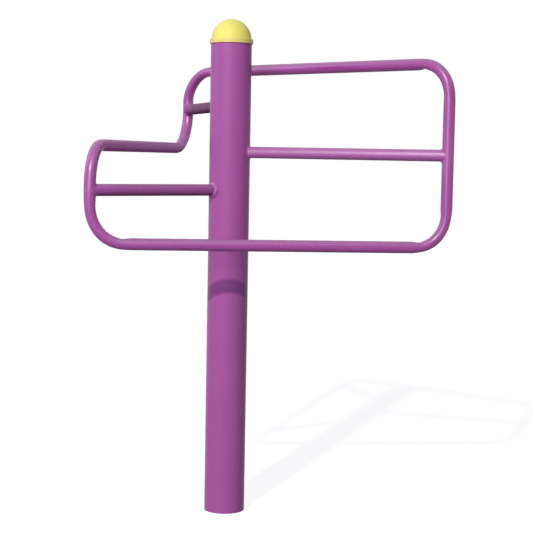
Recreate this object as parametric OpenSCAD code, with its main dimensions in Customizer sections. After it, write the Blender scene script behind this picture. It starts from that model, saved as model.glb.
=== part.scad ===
// Outdoor leg stretcher: a capped post carries one loop of bent tube that runs round it
// as a triangle with its three sides at three heights, held by a strut at each corner.
// Origin on the post's axis at the ground, +Z up, +X towards the right-hand corner.
// All lengths are in millimetres.

/* [Post] */
// Outside diameter of the post
post_d = 114; // [95:1:140]
// Wall of the post
post_wall = 3; // [2:0.5:6]
// Height of the post's upper end above the high bar's centreline
post_rise = 65; // [45:1:160]

/* [Bars] */
// Outside diameter of the bent bars
bar_d = 32; // [32:0.5:42]
// Wall of the bent bars
bar_wall = 2.5; // [1.5:0.1:4]
// Radius of every bend, at the centreline of the tube
bend_r = 90; // [60:1:95]
// Height of the low bar's centreline above the ground
low_bar_z = 770; // [500:5:1000]
// Rise from the low bar to the middle bar
middle_rise = 257; // [245:1:400]
// Rise from the middle bar to the high bar
high_rise = 233; // [230:1:400]

/* [Plan] */
// Reach from the post's axis to the right-hand corner
right_reach = 613; // [450:1:800]
// Reach from the post's axis back to the side that joins the other two corners
side_reach = 260; // [200:1:350]
// Length of that side, from corner to corner
side_length = 730; // [500:1:900]

/* [Struts] */
// Outside diameter of the struts
strut_d = 32; // [22:0.5:32]
// Wall of the struts
strut_wall = 2.5; // [1.5:0.1:4]
// Height of the right strut above the middle of its upright
right_strut_up = 1; // [-12:0.5:12]
// Height of the left strut above the middle of its upright
left_strut_up = 11.5; // [-12:0.5:12]
// Height of the rear strut above the middle of its upright
rear_strut_up = 2.5; // [-12:0.5:12]
// Length ground off the feather tips of each saddle cut at an upright
tip_trim = 3; // [1:0.5:5]

/* [Welds] */
// Radius of the round bead between a strut and the post
post_bead = 6; // [3:0.5:9]
// Thickness of the bead between a strut and an upright
corner_bead = 2.5; // [2:0.5:6]

/* [Cap] */
// Wall of the moulded cap
cap_wall = 3; // [2:0.5:5]
// Depth of the skirt that grips the outside of the post
skirt_depth = 10; // [6:1:30]
// Clearance between the skirt and the post
skirt_gap = 0.3; // [0.1:0.1:1]
// Radius of the dome
dome_r = 55.5; // [40:0.5:56]
// Radius of the rounded edges of the rim
rim_round = 1.5; // [0.5:0.1:2]

/* [Hidden] */
$fn = 64;

PAINT = "MediumOrchid";
WELD = "DarkOrchid";
CAP = "Khaki";

post_r = post_d / 2;
bar_r = bar_d / 2;
strut_r = strut_d / 2;

// Corners of the loop, as seen from above
right_corner = [right_reach, 0];
left_corner = [-side_reach, -side_length / 2];
rear_corner = [-side_reach, side_length / 2];

// Heights of the bars, and of the post's upper end
middle_bar_z = low_bar_z + middle_rise;
high_bar_z = middle_bar_z + high_rise;
post_h = high_bar_z + post_rise;

// Each strut meets its upright where two bent bars are butt welded end to end
right_strut_z = (low_bar_z + high_bar_z) / 2 + right_strut_up;
left_strut_z = (low_bar_z + middle_bar_z) / 2 + left_strut_up;
rear_strut_z = (middle_bar_z + high_bar_z) / 2 + rear_strut_up;

// The cap's ledge sits on the end of the post, and its dome stands on the ledge
ledge_z = post_h;
dome_z = post_h + cap_wall;
skirt_inner_r = post_r + skirt_gap;
rim_r = skirt_inner_r + cap_wall;

// Tools cut this far past the faces they go through
through = 1;

// Ring, in the plane, of a tube's section
module tube_section(d, wall) {
    difference() {
        circle(d = d);
        circle(d = d - 2 * wall);
    }
}

// Straight tube from the origin up to height h
module tube(d, wall, h) {
    linear_extrude(height = h) tube_section(d, wall);
}

// Upright and quarter bend at the start of a bar that runs along +X from the origin.
// The bar's centreline is at height 0 and the upright's open end at height end_z,
// above the bar or below it.
module bar_end(end_z) {
    mirror([0, 0, end_z < 0 ? 1 : 0]) {
        translate([0, 0, bend_r]) tube(bar_d, bar_wall, abs(end_z) - bend_r);
        translate([bend_r, 0, bend_r]) rotate([90, 0, 0]) rotate([0, 0, 180])
            rotate_extrude(angle = 90) translate([bend_r, 0]) tube_section(bar_d, bar_wall);
    }
}

// Bar bent in one upright plane, from corner a to corner b at height z.
// Its uprights end at heights a_end_z and b_end_z.
module bent_bar(a, b, z, a_end_z, b_end_z) {
    span = norm(b - a);
    translate([a.x, a.y, z]) rotate([0, 0, atan2(b.y - a.y, b.x - a.x)]) {
        bar_end(a_end_z - z);
        translate([bend_r, 0, 0]) rotate([0, 90, 0]) tube(bar_d, bar_wall, span - 2 * bend_r);
        translate([span, 0, 0]) mirror([1, 0, 0]) bar_end(b_end_z - z);
    }
}

// Frame of a strut: +X runs from the post's axis out to the corner, at the strut's height
module towards(corner, z) {
    translate([0, 0, z]) rotate([0, 0, atan2(corner.y, corner.x)]) children();
}

// Space that the post takes up, in a strut's frame
module post_space() {
    cylinder(r = post_r, h = 4 * post_d, center = true);
}

// Space that a corner's upright takes up, in a strut's frame
module upright_space(corner) {
    translate([norm(corner), 0, 0]) cylinder(r = bar_r, h = 4 * post_d, center = true);
}

// Space inside the outer skin of a strut, in its frame, grown by extra all round
module strut_space(corner, extra = 0) {
    rotate([0, 90, 0]) cylinder(r = strut_r + extra, h = norm(corner) - tip_trim);
}

// Strut with a saddle cut at both ends: one fits the post, the other the corner's upright
module strut(corner, z) {
    towards(corner, z) difference() {
        rotate([0, 90, 0]) tube(strut_d, strut_wall, norm(corner) - tip_trim);
        post_space();
        upright_space(corner);
    }
}

// Round bead in the angle between a strut and the post.
// It sits halfway between the nearest and the farthest point of the saddle.
module post_weld(corner, z) {
    saddle_x = (post_r + sqrt(post_r * post_r - strut_r * strut_r)) / 2;
    towards(corner, z) difference() {
        translate([saddle_x, 0, 0]) rotate([0, 90, 0])
            rotate_extrude() translate([strut_r, 0]) circle(r = post_bead, $fn = 32);
        post_space();
        strut_space(corner);
    }
}

// Collar bead that follows the saddle between a strut and its upright
module corner_weld(corner, z) {
    towards(corner, z) difference() {
        intersection() {
            strut_space(corner, corner_bead);
            translate([norm(corner), 0, 0])
                cylinder(r = bar_r + corner_bead, h = 2 * strut_d, center = true);
        }
        upright_space(corner);
        strut_space(corner);
    }
}

// Points of a quarter circle round c, from the angle start through 90 degrees
function quarter(c, r, start, steps = 8) =
    [for (i = [0:steps]) c + r * [cos(start + i * 90 / steps), sin(start + i * 90 / steps)]];

// Outer half profile of the cap's rim, with rounded edges
module rim_profile() {
    polygon(concat(
        [[0, ledge_z - skirt_depth]],
        quarter([rim_r - rim_round, ledge_z - skirt_depth + rim_round], rim_round, -90),
        quarter([rim_r - rim_round, dome_z - rim_round], rim_round, 0),
        [[0, dome_z]]
    ));
}

module post() {
    color(PAINT) tube(post_d, post_wall, post_h);
}

module post_cap() {
    color(CAP) difference() {
        union() {
            rotate_extrude() rim_profile();
            translate([0, 0, dome_z]) sphere(r = dome_r);
        }
        // Pocket of the skirt, from below up to the ledge
        translate([0, 0, ledge_z - skirt_depth - dome_r])
            cylinder(r = skirt_inner_r, h = skirt_depth + dome_r);
        // Hollow of the dome, and the hole through the ledge
        translate([0, 0, dome_z]) sphere(r = dome_r - cap_wall);
        translate([0, 0, ledge_z - through]) cylinder(r = dome_r - cap_wall, h = cap_wall + through);
    }
}

module low_bar() {
    color(PAINT) bent_bar(left_corner, right_corner, low_bar_z, left_strut_z, right_strut_z);
}

module middle_bar() {
    color(PAINT) bent_bar(rear_corner, left_corner, middle_bar_z, rear_strut_z, left_strut_z);
}

module high_bar() {
    color(PAINT) bent_bar(right_corner, rear_corner, high_bar_z, right_strut_z, rear_strut_z);
}

module right_strut() {
    color(PAINT) strut(right_corner, right_strut_z);
}

module left_strut() {
    color(PAINT) strut(left_corner, left_strut_z);
}

module rear_strut() {
    color(PAINT) strut(rear_corner, rear_strut_z);
}

module right_post_weld() {
    color(WELD) post_weld(right_corner, right_strut_z);
}

module left_post_weld() {
    color(WELD) post_weld(left_corner, left_strut_z);
}

module rear_post_weld() {
    color(WELD) post_weld(rear_corner, rear_strut_z);
}

module right_corner_weld() {
    color(WELD) corner_weld(right_corner, right_strut_z);
}

module left_corner_weld() {
    color(WELD) corner_weld(left_corner, left_strut_z);
}

module rear_corner_weld() {
    color(WELD) corner_weld(rear_corner, rear_strut_z);
}

post();
post_cap();
low_bar();
middle_bar();
high_bar();
right_strut();
left_strut();
rear_strut();
right_post_weld();
left_post_weld();
rear_post_weld();
right_corner_weld();
left_corner_weld();
rear_corner_weld();
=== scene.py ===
"""Outdoor leg stretcher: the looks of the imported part.

The post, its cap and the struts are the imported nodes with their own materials. The three bent bars
are modelled here, because each bend is flattened and dented in its own way, and so are the weld
beads, because they are rippled or hollow. Lengths are in metres.
"""

from math import atan2, cos, exp, pi, radians, sin, sqrt

import bpy
from mathutils import Matrix, Vector


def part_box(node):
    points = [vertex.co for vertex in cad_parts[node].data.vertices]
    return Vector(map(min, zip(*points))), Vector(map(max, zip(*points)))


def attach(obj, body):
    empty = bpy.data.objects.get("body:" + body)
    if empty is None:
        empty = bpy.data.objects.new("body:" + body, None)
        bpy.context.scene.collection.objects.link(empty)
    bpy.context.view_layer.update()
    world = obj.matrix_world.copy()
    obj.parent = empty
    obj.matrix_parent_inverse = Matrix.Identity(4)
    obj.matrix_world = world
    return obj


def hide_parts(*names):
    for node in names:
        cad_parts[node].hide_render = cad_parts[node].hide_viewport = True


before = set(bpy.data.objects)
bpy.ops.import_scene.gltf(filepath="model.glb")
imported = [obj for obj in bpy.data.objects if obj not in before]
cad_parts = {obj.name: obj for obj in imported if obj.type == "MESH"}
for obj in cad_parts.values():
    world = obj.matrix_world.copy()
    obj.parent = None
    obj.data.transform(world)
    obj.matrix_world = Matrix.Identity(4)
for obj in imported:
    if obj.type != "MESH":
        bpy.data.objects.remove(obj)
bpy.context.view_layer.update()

# The photograph's camera, fitted to the tubes' centrelines
IMAGE_WIDTH = 533
SENSOR_WIDTH = 36.0
FOCAL_PIXELS = 1330.9
CAMERA_DISTANCE = 3.7386
CAMERA_HEIGHT = 0.9994
CAMERA_TURN = radians(18.452)
CAMERA_YAW = radians(1.666)
CAMERA_PITCH = radians(4.631)
CAMERA_ROLL = radians(1.051)

# The sun stands this far to the camera's left and above the ground
SUN_LEFT = radians(21.0)
SUN_ELEVATION = radians(32.2)
SUN_ANGLE = radians(2.0)
SUN_STRENGTH = 1.70
SUN_COLOUR = (1.0, 0.92, 0.87)

# Soft lamps, turned to this height on the post's axis. Each one's angles are in degrees, to the
# camera's left and above the level. The front lamp stands behind the camera's left shoulder, so
# that its glow in the paint fades down the post. The narrow strip lamp draws the streak in the
# uprights. The top lamp hangs over the camera and lies in the upper sides of the bars. The side
# lamp lights the bars from the left.
LAMP_TARGET_Z = 1.0
LAMPS = {
    "front_lamp": {
        "left": 21.0, "elevation": 8.5, "distance": 4.2, "width": 3.6, "depth": 1.3,
        "radiance": 2.5, "colour": (0.82, 0.88, 1.0),
    },
    "strip_lamp": {
        "left": 19.0, "elevation": 12.0, "distance": 4.2, "width": 1.0, "depth": 1.8,
        "radiance": 7.0, "colour": (0.82, 0.88, 1.0),
    },
    "top_lamp": {
        "left": 6.0, "elevation": 44.0, "distance": 3.5, "width": 3.0, "depth": 1.3,
        "radiance": 1.7, "colour": (0.84, 0.90, 1.0),
    },
    "side_lamp": {
        "left": 93.0, "elevation": 24.0, "distance": 3.5, "width": 1.0, "depth": 2.4,
        "radiance": 3.6, "colour": (0.88, 0.88, 1.0),
    },
}

# What lights the object besides the lamps, as linear colours: the light of an open yard, which
# comes from the camera's side, from its left and right, from behind the object and from above.
# The light from below comes from the floor.
SKY_FRONT = (0.02, 0.01, 0.04)
SKY_LEFT = (0.02, 0.01, 0.03)
SKY_RIGHT = (0.23, 0.22, 0.27)
SKY_BACK = (0.48, 0.46, 0.58)
SKY_TOP = (0.02, 0.02, 0.04)
SKY_BELOW = (0.0, 0.0, 0.0)

# The floor. Where it is seen, it has the shown tone, which takes the shadow, and a glow that rises
# between these two distances from the post. To the object it sends back only the bounce tone.
FLOOR_HALF_SIZE = 14.0
FLOOR_NEAR = 2.5
FLOOR_FAR = 8.0
FLOOR_GLOW_NEAR = 0.86
FLOOR_GLOW_FAR = 0.93
FLOOR_SHOWN = (0.30, 0.30, 0.30, 1.0)
FLOOR_BOUNCE = (0.02, 0.02, 0.02, 1.0)

WHITE = (1.0, 1.0, 1.0, 1.0)


def add_object(name, data):
    """A new object in the scene."""
    added = bpy.data.objects.new(name, data)
    bpy.context.scene.collection.objects.link(added)
    return added


def camera_rotation():
    """The camera's rotation, from its pose in the photograph and the object's turn."""
    turn = Matrix.Rotation(CAMERA_TURN - CAMERA_YAW, 4, "Z")
    pitch = Matrix.Rotation(pi / 2 - CAMERA_PITCH, 4, "X")
    roll = Matrix.Rotation(CAMERA_ROLL, 4, "Z")
    return turn @ pitch @ roll


def add_camera():
    """The camera at the photograph's viewing angle."""
    data = bpy.data.cameras.new("photo_camera")
    data.sensor_width = SENSOR_WIDTH
    data.lens = FOCAL_PIXELS * SENSOR_WIDTH / IMAGE_WIDTH
    camera = add_object("photo_camera", data)
    right = CAMERA_DISTANCE * sin(CAMERA_TURN)
    back = CAMERA_DISTANCE * cos(CAMERA_TURN)
    place = Vector((right, -back, CAMERA_HEIGHT))
    camera.matrix_world = Matrix.Translation(place) @ camera_rotation()
    bpy.context.scene.camera = camera


def add_sun():
    """A low sun of a small size, which casts the low bar's shadow on the post."""
    data = bpy.data.lights.new("sun", "SUN")
    data.energy = SUN_STRENGTH
    data.color = SUN_COLOUR
    data.angle = SUN_ANGLE
    sun = add_object("sun", data)
    turn = Matrix.Rotation(CAMERA_TURN - SUN_LEFT, 4, "Z")
    sun.matrix_world = turn @ Matrix.Rotation(pi / 2 - SUN_ELEVATION, 4, "X")


def add_lamp(name, setting):
    """A soft lamp, turned to the object. No camera sees it."""
    data = bpy.data.lights.new(name, "AREA")
    data.shape = "RECTANGLE"
    data.size = setting["width"]
    data.size_y = setting["depth"]
    data.energy = setting["radiance"] * pi * data.size * data.size_y
    data.color = setting["colour"]
    lamp = add_object(name, data)
    lamp.visible_camera = False
    turn = Matrix.Rotation(CAMERA_TURN - radians(setting["left"]), 4, "Z")
    turn = turn @ Matrix.Rotation(pi / 2 - radians(setting["elevation"]), 4, "X")
    away = turn @ Vector((0, 0, setting["distance"]))
    lamp.matrix_world = Matrix.Translation(Vector((0, 0, LAMP_TARGET_Z)) + away) @ turn


class Nodes:
    """Adds and links the nodes of one material or world."""

    def __init__(self, tree):
        self.tree = tree
        tree.nodes.clear()

    def add(self, kind, inputs=None, **settings):
        """A node of this kind, with these settings and inputs, each a socket or a value."""
        node = self.tree.nodes.new(kind)
        for name, value in settings.items():
            setattr(node, name, value)
        for name, value in (inputs or {}).items():
            if isinstance(value, bpy.types.NodeSocket):
                self.link(value, node.inputs[name])
            else:
                node.inputs[name].default_value = value
        return node

    def link(self, source, target):
        """A link from an output to an input."""
        self.tree.links.new(source, target)

    def place(self):
        """Where a point lies in the shared frame."""
        return self.add("ShaderNodeTexCoord").outputs["Object"]

    def axes(self, vector):
        """The outputs X, Y and Z of a vector."""
        return self.add("ShaderNodeSeparateXYZ", inputs={"Vector": vector}).outputs

    def math(self, operation, a, b=0.0):
        """The output of a Math node."""
        return self.add("ShaderNodeMath", operation=operation, inputs={0: a, 1: b}).outputs[0]

    def vector(self, operation, a, b):
        """The vector output of a Vector Math node."""
        node = self.add("ShaderNodeVectorMath", operation=operation, inputs={0: a, 1: b})
        return node.outputs["Vector"]

    def length(self, vector):
        """The length of a vector."""
        node = self.add("ShaderNodeVectorMath", operation="LENGTH", inputs={0: vector})
        return node.outputs["Value"]

    def mix(self, share, low, high):
        """The colour that lies this share of the way from low to high."""
        node = self.add("ShaderNodeMix", data_type="RGBA", inputs={0: share, 6: low, 7: high})
        return node.outputs[2]

    def ramp(self, value, low, high, to_low=0.0, to_high=1.0):
        """The value taken from the range low to high into the range to_low to to_high."""
        limits = {"From Min": low, "From Max": high, "To Min": to_low, "To Max": to_high}
        node = self.add("ShaderNodeMapRange", interpolation_type="SMOOTHSTEP",
                        inputs={"Value": value, **limits})
        return node.outputs["Result"]

    def noise(self, place, pattern):
        """Noise from 0 to 1 that has the scale, detail and roughness of a pattern."""
        node = self.add("ShaderNodeTexNoise", inputs={
            "Vector": place,
            "Scale": pattern["scale"],
            "Detail": pattern["detail"],
            "Roughness": pattern["roughness"],
        })
        return node.outputs["Fac"]

    def patches(self, place, pattern, to_low=0.0, to_high=1.0):
        """A pattern's noise, taken from its own range into the range to_low to to_high."""
        noise = self.noise(place, pattern)
        return self.ramp(noise, pattern["low"], pattern["high"], to_low, to_high)

    def relief(self, place, pattern, normal=None):
        """The normal of a surface with a pattern's relief, laid over another normal if given."""
        height = self.noise(place, pattern)
        inputs = {"Height": height, "Distance": pattern["depth"], "Strength": 1.0}
        if normal is not None:
            inputs["Normal"] = normal
        return self.add("ShaderNodeBump", inputs=inputs).outputs["Normal"]


def opaque(colour):
    """A colour of three numbers with full alpha."""
    return (*colour, 1.0)


def backdrop_ray(nodes):
    """1 for the rays that show the plain white background: those of the camera, gloss and glass."""
    path = nodes.add("ShaderNodeLightPath")
    shown = nodes.math("MAXIMUM", path.outputs["Is Camera Ray"], path.outputs["Is Glossy Ray"])
    return nodes.math("MAXIMUM", shown, path.outputs["Is Transmission Ray"])


def build_world():
    """White where it is seen. Where it lights, each direction blends the colours of its axes."""
    world = bpy.data.worlds.new("sky")
    world.use_nodes = True
    bpy.context.scene.world = world
    nodes = Nodes(world.node_tree)
    direction = nodes.add("ShaderNodeTexCoord").outputs["Generated"]
    turned = nodes.add("ShaderNodeVectorRotate", rotation_type="Z_AXIS",
                       inputs={"Vector": direction, "Angle": -CAMERA_TURN})
    axes = nodes.axes(turned.outputs["Vector"])
    sides = (
        ("X", SKY_LEFT, SKY_RIGHT),
        ("Y", SKY_FRONT, SKY_BACK),
        ("Z", SKY_BELOW, SKY_TOP),
    )
    light = (0.0, 0.0, 0.0)
    for axis, low, high in sides:
        part = axes[axis]
        colour = nodes.mix(nodes.math("GREATER_THAN", part, 0.0), opaque(low), opaque(high))
        share = nodes.math("MULTIPLY", part, part)
        scaled = nodes.add("ShaderNodeVectorMath", operation="SCALE",
                           inputs={0: colour, "Scale": share})
        light = nodes.vector("ADD", light, scaled.outputs["Vector"])
    shown = nodes.mix(backdrop_ray(nodes), light, WHITE)
    background = nodes.add("ShaderNodeBackground", inputs={"Color": shown, "Strength": 1.0})
    output = nodes.add("ShaderNodeOutputWorld")
    nodes.link(background.outputs[0], output.inputs["Surface"])


def new_material(name):
    """An empty node material, its nodes and its output."""
    material = bpy.data.materials.new(name)
    material.use_nodes = True
    nodes = Nodes(material.node_tree)
    output = nodes.add("ShaderNodeOutputMaterial")
    return material, nodes, output


def floor_material():
    """Plain and white where it is seen, with the object's shadow, and darker for the light it
    sends back to the object."""
    material, nodes, output = new_material("pale_floor")
    shown = backdrop_ray(nodes)
    tone = nodes.mix(shown, FLOOR_BOUNCE, FLOOR_SHOWN)
    diffuse = nodes.add("ShaderNodeBsdfDiffuse", inputs={"Color": tone})
    reach = nodes.length(nodes.place())
    level = nodes.ramp(reach, FLOOR_NEAR, FLOOR_FAR, FLOOR_GLOW_NEAR, FLOOR_GLOW_FAR)
    strength = nodes.math("MULTIPLY", shown, level)
    glow = nodes.add("ShaderNodeEmission", inputs={"Color": WHITE, "Strength": strength})
    both = nodes.add("ShaderNodeAddShader", inputs={0: diffuse.outputs[0], 1: glow.outputs[0]})
    nodes.link(both.outputs[0], output.inputs["Surface"])
    return material


def add_floor():
    """The floor that the post stands on."""
    half = FLOOR_HALF_SIZE
    mesh = bpy.data.meshes.new("floor")
    corners = [(-half, -half, 0), (half, -half, 0), (half, half, 0), (-half, half, 0)]
    mesh.from_pydata(corners, [], [(0, 1, 2, 3)])
    mesh.materials.append(floor_material())
    add_object("floor", mesh)


# Powder coat on steel tube, as linear colours
PAINT_BASE = opaque((0.378, 0.060, 0.318))
PAINT_DEEP = opaque((0.355, 0.053, 0.294))
# Dust on upper sides, pale enough to double as a painted sheen
PAINT_DUST_AND_SHEEN = opaque((0.350, 0.150, 0.330))
PAINT_WORN = opaque((0.480, 0.160, 0.430))
# Painted shade: a dark grey-brown that darkens the sheltered struts
PAINT_SHADE = opaque((0.125, 0.075, 0.095))
# Painted light: a lighter purple on the middle bar's straight
PAINT_LIT_STRAIGHT = opaque((0.590, 0.086, 0.530))
PAINT_IOR = 1.5
# The coats, whose roughness lies between smooth and rough. Hands and legs polish the bars, and the post
# and the two sheltered struts stay duller. Painted shade darkens those struts, up to near their
# uprights. The straight of the middle bar is lightened by painted light, and it is rougher than its
# ends by the coat's last number.
PAINTS = {
    "purple_powder_coat": {"specular": 0.62, "smooth": 0.27, "rough": 0.32, "painted_shade": 0.0, "rough_lit_straight": 0.0},
    "middle_powder_coat": {"specular": 0.62, "smooth": 0.27, "rough": 0.32, "painted_shade": 0.0, "rough_lit_straight": 0.22},
    "dull_powder_coat": {"specular": 0.15, "smooth": 0.32, "rough": 0.40, "painted_shade": 0.0, "rough_lit_straight": 0.0},
    "worn_shaded_powder_coat": {"specular": 0.20, "smooth": 0.40, "rough": 0.48, "painted_shade": 0.20, "rough_lit_straight": 0.0},
    "shaded_powder_coat": {"specular": 0.05, "smooth": 0.50, "rough": 0.60, "painted_shade": 0.75, "rough_lit_straight": 0.0},
}

# Patterns in the paint: the noise's scale, detail and roughness, and the range of it that is used
# or the depth of its relief
CLOUDS = {"scale": 9.0, "detail": 3.0, "roughness": 0.55, "low": 0.35, "high": 0.65}
DUST_AND_SHEEN = {"scale": 46.0, "detail": 4.0, "roughness": 0.6, "low": 0.2, "high": 0.7}
SPECKS = {"scale": 900.0, "detail": 1.0, "roughness": 0.5, "low": 0.62, "high": 0.80}
SHADE_PATTERN = {"scale": 28.0, "detail": 4.0, "roughness": 0.6, "low": 0.3, "high": 0.7}
SHEEN = {"scale": 60.0, "detail": 3.0, "roughness": 0.6, "low": 0.25, "high": 0.75}
WAVES = {"scale": 55.0, "detail": 1.0, "roughness": 0.5, "depth": 0.00012}
ORANGE_PEEL = {"scale": 420.0, "detail": 1.0, "roughness": 0.45, "depth": 0.00002}

# Dust and a painted sheen set in as the upward part of the surface's normal goes from low to high.
# Where they lie thinnest, they have the least part of their share.
DUST_AND_SHEEN_UP_LOW = 0.05
DUST_AND_SHEEN_UP_HIGH = 0.85
DUST_AND_SHEEN_LEAST = 0.55
DUST_AND_SHEEN_SHARE = 0.9
# Paint gets thin as the surface's pointiness goes from low to high
EDGE_LOW = 0.53
EDGE_HIGH = 0.60
EDGE_SHARE = 0.5
SPECK_SHARE = 0.10
# Least part of the painted shade's share, and the distances from the post's axis between which it ends
SHADE_LEAST = 0.8
SHADE_START = 0.34
SHADE_END = 0.42
# Least part of the painted light on the middle bar's straight, and the distances from the bar's middle
# between which it ends
LIT_STRAIGHT_LEAST = 0.75
LIT_STRAIGHT_START = 0.27
LIT_STRAIGHT_END = 0.34
# Undersides are rougher by this much. It fades out as the upward part of the normal goes from low
# to high.
UNDER_LOW = -0.70
UNDER_HIGH = -0.15
UNDER_ROUGHNESS = 0.25


def paint_material(name):
    """One of the purple coats: orange peel, a cloudy tone, dust and a painted sheen on top, thin paint
    on edges, small specks and duller undersides, with painted shade, and a straight lightened by
    painted light, where the coat has them."""
    coat = PAINTS[name]
    material, nodes, output = new_material(name)
    place = nodes.place()
    geometry = nodes.add("ShaderNodeNewGeometry")
    up = nodes.axes(geometry.outputs["Normal"])["Z"]
    colour = nodes.mix(nodes.patches(place, CLOUDS), PAINT_DEEP, PAINT_BASE)
    gloss = nodes.patches(place, SHEEN, coat["smooth"], coat["rough"])
    gloss = nodes.math("ADD", gloss, nodes.ramp(up, UNDER_LOW, UNDER_HIGH, UNDER_ROUGHNESS, 0.0))
    # Painted light lightens the middle bar's straight, which is also made rougher
    if coat["rough_lit_straight"]:
        along = nodes.math("ABSOLUTE", nodes.axes(place)["Y"])
        straight = nodes.ramp(along, LIT_STRAIGHT_START, LIT_STRAIGHT_END, 1.0, 0.0)
        lightened = nodes.math("MULTIPLY", straight, nodes.patches(place, CLOUDS, LIT_STRAIGHT_LEAST))
        colour = nodes.mix(lightened, colour, PAINT_LIT_STRAIGHT)
        gloss = nodes.math("ADD", gloss, nodes.math("MULTIPLY", straight, coat["rough_lit_straight"]))
    # Dust and a painted sheen lighten the upper sides
    dust_and_sheen = nodes.patches(place, DUST_AND_SHEEN, DUST_AND_SHEEN_LEAST)
    dust_and_sheen_share = nodes.math("MULTIPLY", nodes.ramp(up, DUST_AND_SHEEN_UP_LOW, DUST_AND_SHEEN_UP_HIGH), dust_and_sheen)
    colour = nodes.mix(nodes.math("MULTIPLY", dust_and_sheen_share, DUST_AND_SHEEN_SHARE), colour, PAINT_DUST_AND_SHEEN)
    edge = nodes.ramp(geometry.outputs["Pointiness"], EDGE_LOW, EDGE_HIGH)
    colour = nodes.mix(nodes.math("MULTIPLY", edge, EDGE_SHARE), colour, PAINT_WORN)
    speck = nodes.patches(place, SPECKS)
    colour = nodes.mix(nodes.math("MULTIPLY", speck, SPECK_SHARE), colour, PAINT_WORN)
    # Painted shade darkens the struts, up to near their uprights
    if coat["painted_shade"]:
        painted_shade = nodes.patches(place, SHADE_PATTERN, SHADE_LEAST * coat["painted_shade"], coat["painted_shade"])
        reach = nodes.length(nodes.vector("MULTIPLY", place, (1.0, 1.0, 0.0)))
        near = nodes.ramp(reach, SHADE_START, SHADE_END, 1.0, 0.0)
        colour = nodes.mix(nodes.math("MULTIPLY", painted_shade, near), colour, PAINT_SHADE)
    shader = nodes.add("ShaderNodeBsdfPrincipled", inputs={
        "Base Color": colour,
        "Roughness": gloss,
        "Normal": nodes.relief(place, ORANGE_PEEL, nodes.relief(place, WAVES)),
        "IOR": PAINT_IOR,
        "Specular IOR Level": coat["specular"],
    })
    nodes.link(shader.outputs[0], output.inputs["Surface"])
    return material


# Moulded plastic of the cap, as linear colours
CAP_BASE = opaque((0.890, 0.790, 0.155))
CAP_FADED = opaque((0.850, 0.825, 0.225))
# A darker, more orange tone for the rim
CAP_RIM_TONE = opaque((0.840, 0.660, 0.230))
CAP_IOR = 1.49
CAP_SMOOTH = 0.42
CAP_ROUGH = 0.55
# Patterns in the plastic, as in the paint
CAP_CLOUDS = {"scale": 30.0, "detail": 3.0, "roughness": 0.55, "low": 0.3, "high": 0.7}
CAP_RIM_PATTERN = {"scale": 140.0, "detail": 4.0, "roughness": 0.65, "low": 0.2, "high": 0.7}
CAP_SHEEN = {"scale": 90.0, "detail": 3.0, "roughness": 0.6, "low": 0.25, "high": 0.75}
CAP_SKIN = {"scale": 900.0, "detail": 2.0, "roughness": 0.5, "depth": 0.00004}
# Heights above the post's end between which the fading of the crown sets in and the rim's darker, more
# orange tone ends, and the least and greatest share of that tone
CROWN_LOW = 0.015
CROWN_HIGH = 0.058
RIM_LOW = -0.006
RIM_HIGH = 0.010
RIM_TONE_LEAST = 0.35
RIM_TONE_MOST = 0.8


def cap_material(ledge_z):
    """Satin yellow plastic: a faded crown, a darker and more orange rim and a fine moulded skin."""
    material, nodes, output = new_material("yellow_plastic")
    place = nodes.place()
    height = nodes.axes(place)["Z"]
    crown = nodes.ramp(height, ledge_z + CROWN_LOW, ledge_z + CROWN_HIGH)
    lightened = nodes.math("MULTIPLY", crown, nodes.patches(place, CAP_CLOUDS))
    colour = nodes.mix(lightened, CAP_BASE, CAP_FADED)
    # The rim takes a darker, more orange tone
    rim = nodes.ramp(height, ledge_z + RIM_LOW, ledge_z + RIM_HIGH, 1.0, 0.0)
    patches = nodes.patches(place, CAP_RIM_PATTERN, RIM_TONE_LEAST, RIM_TONE_MOST)
    colour = nodes.mix(nodes.math("MULTIPLY", rim, patches), colour, CAP_RIM_TONE)
    shader = nodes.add("ShaderNodeBsdfPrincipled", inputs={
        "Base Color": colour,
        "Roughness": nodes.patches(place, CAP_SHEEN, CAP_SMOOTH, CAP_ROUGH),
        "Normal": nodes.relief(place, CAP_SKIN),
        "IOR": CAP_IOR,
    })
    nodes.link(shader.outputs[0], output.inputs["Surface"])
    return material


# Edges sharper than this aren't shaded smooth
SHARP_ANGLE = radians(50.0)


def mesh_object(name, vertices, faces, material):
    """A smooth painted piece that rides on the one body."""
    mesh = bpy.data.meshes.new(name)
    mesh.from_pydata(vertices, [], faces)
    mesh.shade_smooth()
    mesh.set_sharp_from_angle(angle=SHARP_ANGLE)
    mesh.materials.append(material)
    piece = add_object(name, mesh)
    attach(piece, "root")
    return piece


def ring_faces(rings, sides, closed):
    """Quads between rings of so many sides, with flat ends unless the rings close on themselves."""
    faces = []
    for ring in range(rings if closed else rings - 1):
        near = ring * sides
        far = (ring + 1) % rings * sides
        for side in range(sides):
            turned = (side + 1) % sides
            faces.append((near + side, near + turned, far + turned, far + side))
    if not closed:
        faces.append(tuple(reversed(range(sides))))
        faces.append(tuple(range((rings - 1) * sides, rings * sides)))
    return faces


def smooth_step(value, low, high):
    """0 below low, 1 above high, and smooth between."""
    share = min(max((value - low) / (high - low), 0.0), 1.0)
    return share * share * (3 - 2 * share)


# Length of tube between two rings of the mesh in a straight, and the number of rings in a bend
STRAIGHT_STEP = 0.02
BEND_RINGS = 64
TUBE_SIDES = 48
# The end rings of a bend lie this share of a ring inside it
RING_MARGIN = 0.02
# The flattening sets in round each end of a bend, from this length outside it to this length
# inside it, and the upright has so many rings there
BEND_FADE = 0.014
FADE_RINGS = 4
# Rings at the start of a bar's straight, where the dent fades out, and the length between them
DENT_RINGS = 10
DENT_STEP = 0.004
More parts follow.
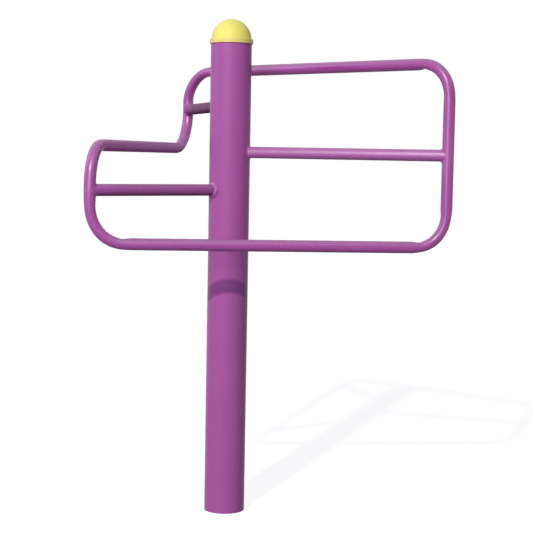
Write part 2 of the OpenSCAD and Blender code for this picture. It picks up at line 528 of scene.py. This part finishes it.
# A dent's middle lies this far before the bend's end at the bar, and it spreads over this length
DENT_BEFORE_END = 0.006
DENT_SPREAD = 0.013
# Length of one compression wrinkle on the inner side of a bend, and the shares of the bend's
# length over which the wrinkles set in, seen from its upright and from its bar
WRINKLE_PITCH = 0.0125
WRINKLES_FROM_UPRIGHT = (0.15, 0.40)
WRINKLES_FROM_BAR = (0.10, 0.35)
# How far beyond a bend a point lies that gives the direction of its end
BEYOND_END = 0.001


class Bend:
    """A quarter bend as the bender left it. It takes up this length along the bar and up the
    upright, and a roundness of 2 is an ellipse. The tube is flattened by these depths on its inner
    and outer sides, has one dent on the inner side near the bar, and may be wrinkled there."""

    def __init__(self, along, up, roundness, inner, outer, dent, wrinkle):
        self.along = along
        self.up = up
        self.power = 2 / roundness
        self.inner = inner
        self.outer = outer
        self.dent = dent
        self.wrinkle = wrinkle

    def place(self, angle):
        """Distances from the corner along the bar and up the upright, at an angle from the
        upright."""
        along = self.along * (1 - cos(angle) ** self.power)
        return along, self.up * (1 - sin(angle) ** self.power)


BEND_LOW_LEFT = Bend(along=0.092, up=0.105, roundness=2.08,
                     inner=0.0008, outer=0.0014, dent=0.0018, wrinkle=0.0005)
BEND_LOW_RIGHT = Bend(along=0.080, up=0.092, roundness=2.02,
                      inner=0.0016, outer=0.0026, dent=0.0012, wrinkle=0.0002)
BEND_MIDDLE_REAR = Bend(along=0.096, up=0.112, roundness=1.80,
                        inner=0.0024, outer=0.0012, dent=0.0006, wrinkle=0.0002)
BEND_MIDDLE_LEFT = Bend(along=0.070, up=0.112, roundness=2.05,
                        inner=0.0018, outer=0.0012, dent=0.0010, wrinkle=0.0004)
BEND_HIGH_RIGHT = Bend(along=0.085, up=0.094, roundness=2.10,
                       inner=0.0012, outer=0.0010, dent=0.0030, wrinkle=0.0002)
BEND_HIGH_REAR = Bend(along=0.087, up=0.088, roundness=1.84,
                      inner=0.0024, outer=0.0022, dent=0.0008, wrinkle=0.0002)


class Station:
    """A point on a bar's centreline, in the bar's own upright plane, with the depths by which the
    tube is drawn in there on the inner and outer sides of the bend. Its side is 1 at an upright
    that stands over the bar, and -1 at one that hangs under it."""

    def __init__(self, place, forward, side, inner=0.0, outer=0.0):
        self.place = place
        self.forward = forward
        self.side = side
        self.inner = inner
        self.outer = outer


def share_within(travelled, length, after, before):
    """1 in the middle of a bend of this length, and 0 before and after it. It is smooth over one
    range that is counted from the bend's start and over one that is counted back from its end."""
    rise = smooth_step(travelled, *after)
    return rise * smooth_step(length - travelled, *before)


def drawn(bend, travelled, length):
    """Depths on the inner and outer sides, this far along a bend of this length from its
    upright."""
    ends = (-BEND_FADE, BEND_FADE)
    flattened = share_within(travelled, length, ends, ends)
    from_dent = (travelled - (length - DENT_BEFORE_END)) / DENT_SPREAD
    dent = bend.dent * exp(-from_dent * from_dent)
    after = [share * length for share in WRINKLES_FROM_UPRIGHT]
    before = [share * length for share in WRINKLES_FROM_BAR]
    wrinkled = share_within(travelled, length, after, before)
    ripple = bend.wrinkle * wrinkled * sin(2 * pi * travelled / WRINKLE_PITCH)
    return flattened * bend.inner + dent + ripple, flattened * bend.outer


def end_stations(rise, bend):
    """Stations from the open end of an upright, through its bend, to the start of the straight.
    The bar runs along +X from the origin, and the upright's end lies at height rise."""
    side = 1 if rise > 0 else -1
    down = Vector((0, 0, -side))
    ahead = Vector((1, 0, 0))
    points = []
    for ring in range(BEND_RINGS + 1):
        angle = pi / 2 * (ring + RING_MARGIN) / (BEND_RINGS + 2 * RING_MARGIN)
        x, z = bend.place(angle)
        points.append(Vector((x, 0, side * z)))
    travelled = [0.0]
    for before, after in zip(points, points[1:]):
        travelled.append(travelled[-1] + (after - before).length)
    length = travelled[-1]
    straight = abs(rise) - bend.up
    heights = [0.0]
    if straight > BEND_FADE:
        heights += [straight - BEND_FADE * (FADE_RINGS - step) / FADE_RINGS
                    for step in range(FADE_RINGS)]
    stations = []
    for height in heights:
        place = Vector((0, 0, rise - side * height))
        stations.append(Station(place, down, side, *drawn(bend, height - straight, length)))
    all_before = [Vector((0, 0, side * (bend.up + BEYOND_END)))] + points[:-1]
    all_after = points[1:] + [Vector((bend.along + BEYOND_END, 0, 0))]
    for before, point, after, distance in zip(all_before, points, all_after, travelled):
        forward = (after - before).normalized()
        stations.append(Station(point, forward, side, *drawn(bend, distance, length)))
    for step in range(1, DENT_RINGS + 1):
        beyond = DENT_STEP * step
        place = Vector((bend.along + beyond, 0, 0))
        stations.append(Station(place, ahead, side, *drawn(bend, length + beyond, length)))
    return stations


def mirrored(stations, span):
    """The same stations at the far end of a bar of this span, in the bar's direction of travel."""
    turned = []
    for station in reversed(stations):
        place = Vector((span - station.place.x, 0, station.place.z))
        forward = Vector((station.forward.x, 0, -station.forward.z))
        turned.append(Station(place, forward, station.side, station.inner, station.outer))
    return turned


def bar_stations(span, start_rise, end_rise, start_bend, end_bend):
    """All stations of a bar of this span, whose uprights end at these heights."""
    stations = end_stations(start_rise, start_bend)
    closing = mirrored(end_stations(end_rise, end_bend), span)
    first_x = stations[-1].place.x
    last_x = closing[0].place.x
    count = round((last_x - first_x) / STRAIGHT_STEP)
    for step in range(1, count):
        place = Vector((first_x + (last_x - first_x) * step / count, 0, 0))
        stations.append(Station(place, Vector((1, 0, 0)), 1))
    return stations + closing


class Corner:
    """A corner of the loop, as seen from above, and the height of its strut."""

    def __init__(self, x, y, strut_z):
        self.place = Vector((x, y))
        self.strut_z = strut_z


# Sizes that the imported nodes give
post_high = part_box("post")[1]
low_low, low_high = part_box("low_bar")
middle_low, middle_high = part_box("middle_bar")
high_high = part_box("high_bar")[1]
POST_RADIUS = post_high.x
POST_HEIGHT = post_high.z
BAR_RADIUS = (middle_high.x - middle_low.x) / 2
LOW_BAR_Z = low_low.z + BAR_RADIUS
HIGH_BAR_Z = high_high.z - BAR_RADIUS
RIGHT_CORNER = Corner(low_high.x - BAR_RADIUS, 0.0, low_high.z)
LEFT_CORNER = Corner(low_low.x + BAR_RADIUS, middle_low.y + BAR_RADIUS, middle_low.z)
REAR_CORNER = Corner(low_low.x + BAR_RADIUS, middle_high.y - BAR_RADIUS, middle_high.z)
# The height of the middle bar's centreline, which no node's box gives
MIDDLE_BAR_Z = 1.027


def tube_points(stations):
    """The rings of points round a bar's stations, in the frame of the bar."""
    across = Vector((0, 1, 0))
    points = []
    for station in stations:
        normal = station.forward.cross(across)
        for index in range(TUBE_SIDES):
            angle = 2 * pi * index / TUBE_SIDES
            toward_centre = station.side * sin(angle)
            depth = station.inner if toward_centre > 0 else station.outer
            radius = BAR_RADIUS - depth * toward_centre * toward_centre
            offset = across * cos(angle) * BAR_RADIUS + normal * sin(angle) * radius
            points.append(station.place + offset)
    return points


def bar_piece(name, start, end, height, start_bend, end_bend, material):
    """A bent bar at this height between two corners, flattened in its bends."""
    span = (end.place - start.place).length
    start_rise = start.strut_z - height
    end_rise = end.strut_z - height
    stations = bar_stations(span, start_rise, end_rise, start_bend, end_bend)
    heading = atan2(end.place.y - start.place.y, end.place.x - start.place.x)
    to_frame = Matrix.Translation((start.place.x, start.place.y, height))
    to_frame = to_frame @ Matrix.Rotation(heading, 4, "Z")
    vertices = [to_frame @ point for point in tube_points(stations)]
    faces = ring_faces(len(stations), TUBE_SIDES, False)
    return mesh_object(name, vertices, faces, material)


def dress_bars(paint, middle_paint):
    """The three bent bars, in place of their nodes."""
    low = bar_piece("low_bar_drawn", LEFT_CORNER, RIGHT_CORNER, LOW_BAR_Z,
                    BEND_LOW_LEFT, BEND_LOW_RIGHT, paint)
    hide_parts("low_bar")
    middle = bar_piece("middle_bar_drawn", REAR_CORNER, LEFT_CORNER, MIDDLE_BAR_Z,
                       BEND_MIDDLE_REAR, BEND_MIDDLE_LEFT, middle_paint)
    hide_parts("middle_bar")
    high = bar_piece("high_bar_drawn", RIGHT_CORNER, REAR_CORNER, HIGH_BAR_Z,
                     BEND_HIGH_RIGHT, BEND_HIGH_REAR, paint)
    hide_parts("high_bar")


# Legs of the weld beads at the post, and at an upright at the top of the strut and at its side
POST_LEGS = {"right": 0.0030, "left": 0.0075, "rear": 0.0050}
CORNER_LEG = 0.0050
CORNER_SIDE_LEG = 0.0012
# Share of the way from a hollow fillet to a round one
POST_FULLNESS = 0.75
CORNER_FULLNESS = 0.20
# Depth of a bead's root below the surfaces, and points across its face
ROOT_DEPTH = 0.0012
BEAD_POINTS = 9
# Rings round the strut in a bead at the post, and in each half of a bead at an upright, which
# reaches this far round the strut on either side of its top or bottom
POST_BEAD_RINGS = 240
CORNER_BEAD_RINGS = 80
CORNER_BEAD_REACH = radians(86.0)
# Ripples and slow swells round a bead at the post, and their shares of the leg
POST_RIPPLES = 34
RIPPLE_SHARE = 0.07
POST_SWELLS = 3
SWELL_SHARE = 0.06


def bead_ring(corner_point, strut_normal, main_normal, leg, fullness):
    """A section of a bead in the angle between a strut and the tube that it meets."""
    common = strut_normal.dot(main_normal)
    along_main = (strut_normal - main_normal * common).normalized()
    along_strut = (main_normal - strut_normal * common).normalized()
    points = []
    for index in range(BEAD_POINTS):
        angle = pi / 2 * index / (BEAD_POINTS - 1)
        strut_share = (1 - fullness) * (1 - sin(angle)) + fullness * cos(angle)
        main_share = (1 - fullness) * (1 - cos(angle)) + fullness * sin(angle)
        points.append(corner_point + leg * (strut_share * along_strut + main_share * along_main))
    points.append(corner_point - ROOT_DEPTH * (strut_normal + main_normal))
    return points


def strut_frame(corner):
    """The frame of a corner's strut, whose +X runs from the post's axis out to the corner."""
    turn = Matrix.Rotation(atan2(corner.place.y, corner.place.x), 4, "Z")
    return Matrix.Translation((0, 0, corner.strut_z)) @ turn


def post_bead(name, corner, leg, phase, material):
    """The rippled bead that follows the saddle between a strut and the post."""
    vertices = []
    to_frame = strut_frame(corner)
    for ring in range(POST_BEAD_RINGS):
        angle = 2 * pi * ring / POST_BEAD_RINGS
        strut_normal = Vector((0, sin(angle), cos(angle)))
        across = BAR_RADIUS * sin(angle)
        reach = sqrt(POST_RADIUS ** 2 - across ** 2)
        point = Vector((reach, across, BAR_RADIUS * cos(angle)))
        main_normal = Vector((point.x, point.y, 0)) / POST_RADIUS
        ripple = 1 + RIPPLE_SHARE * sin(POST_RIPPLES * angle + phase)
        ripple += SWELL_SHARE * sin(POST_SWELLS * angle + 2 * phase)
        for place in bead_ring(point, strut_normal, main_normal, leg * ripple, POST_FULLNESS):
            vertices.append(to_frame @ place)
    faces = ring_faces(POST_BEAD_RINGS, BEAD_POINTS + 1, True)
    return mesh_object(name, vertices, faces, material)


def corner_bead(name, corner, material):
    """The small hollow fillets over and under a strut where it meets its upright, which is as thick
    as the strut, so the fillets run out at its sides."""
    vertices = []
    faces = []
    to_frame = strut_frame(corner)
    half_faces = ring_faces(CORNER_BEAD_RINGS + 1, BEAD_POINTS + 1, False)
    for middle in (0, pi):
        first = len(vertices)
        for ring in range(CORNER_BEAD_RINGS + 1):
            angle = middle + CORNER_BEAD_REACH * (2 * ring / CORNER_BEAD_RINGS - 1)
            rise = abs(cos(angle))
            across = sin(angle)
            strut_normal = Vector((0, across, cos(angle)))
            reach = corner.place.length - BAR_RADIUS * rise
            point = Vector((reach, BAR_RADIUS * across, BAR_RADIUS * cos(angle)))
            main_normal = Vector((-rise, across, 0))
            leg = CORNER_SIDE_LEG + (CORNER_LEG - CORNER_SIDE_LEG) * rise
            for place in bead_ring(point, strut_normal, main_normal, leg, CORNER_FULLNESS):
                vertices.append(to_frame @ place)
        faces += [tuple(first + index for index in face) for face in half_faces]
    return mesh_object(name, vertices, faces, material)


def dress_welds(paint):
    """The weld beads, in place of their nodes."""
    corners = {"right": RIGHT_CORNER, "left": LEFT_CORNER, "rear": REAR_CORNER}
    for phase, (side, corner) in enumerate(corners.items()):
        at_post = post_bead(side + "_post_bead", corner, POST_LEGS[side], phase, paint)
        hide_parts(side + "_post_weld")
        at_upright = corner_bead(side + "_corner_bead", corner, paint)
        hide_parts(side + "_corner_weld")


def dress_node(name, material):
    """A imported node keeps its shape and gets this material."""
    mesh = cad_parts[name].data
    mesh.materials.clear()
    mesh.materials.append(material)


add_camera()
add_sun()
for lamp_name, lamp_setting in LAMPS.items():
    add_lamp(lamp_name, lamp_setting)
build_world()
add_floor()
bar_paint = paint_material("purple_powder_coat")
dress_bars(bar_paint, paint_material("middle_powder_coat"))
dress_welds(bar_paint)
dress_node("right_strut", bar_paint)
dress_node("left_strut", paint_material("worn_shaded_powder_coat"))
dress_node("rear_strut", paint_material("shaded_powder_coat"))
dress_node("post", paint_material("dull_powder_coat"))
dress_node("post_cap", cap_material(POST_HEIGHT))

bpy.context.scene.view_settings.view_transform = "Standard"
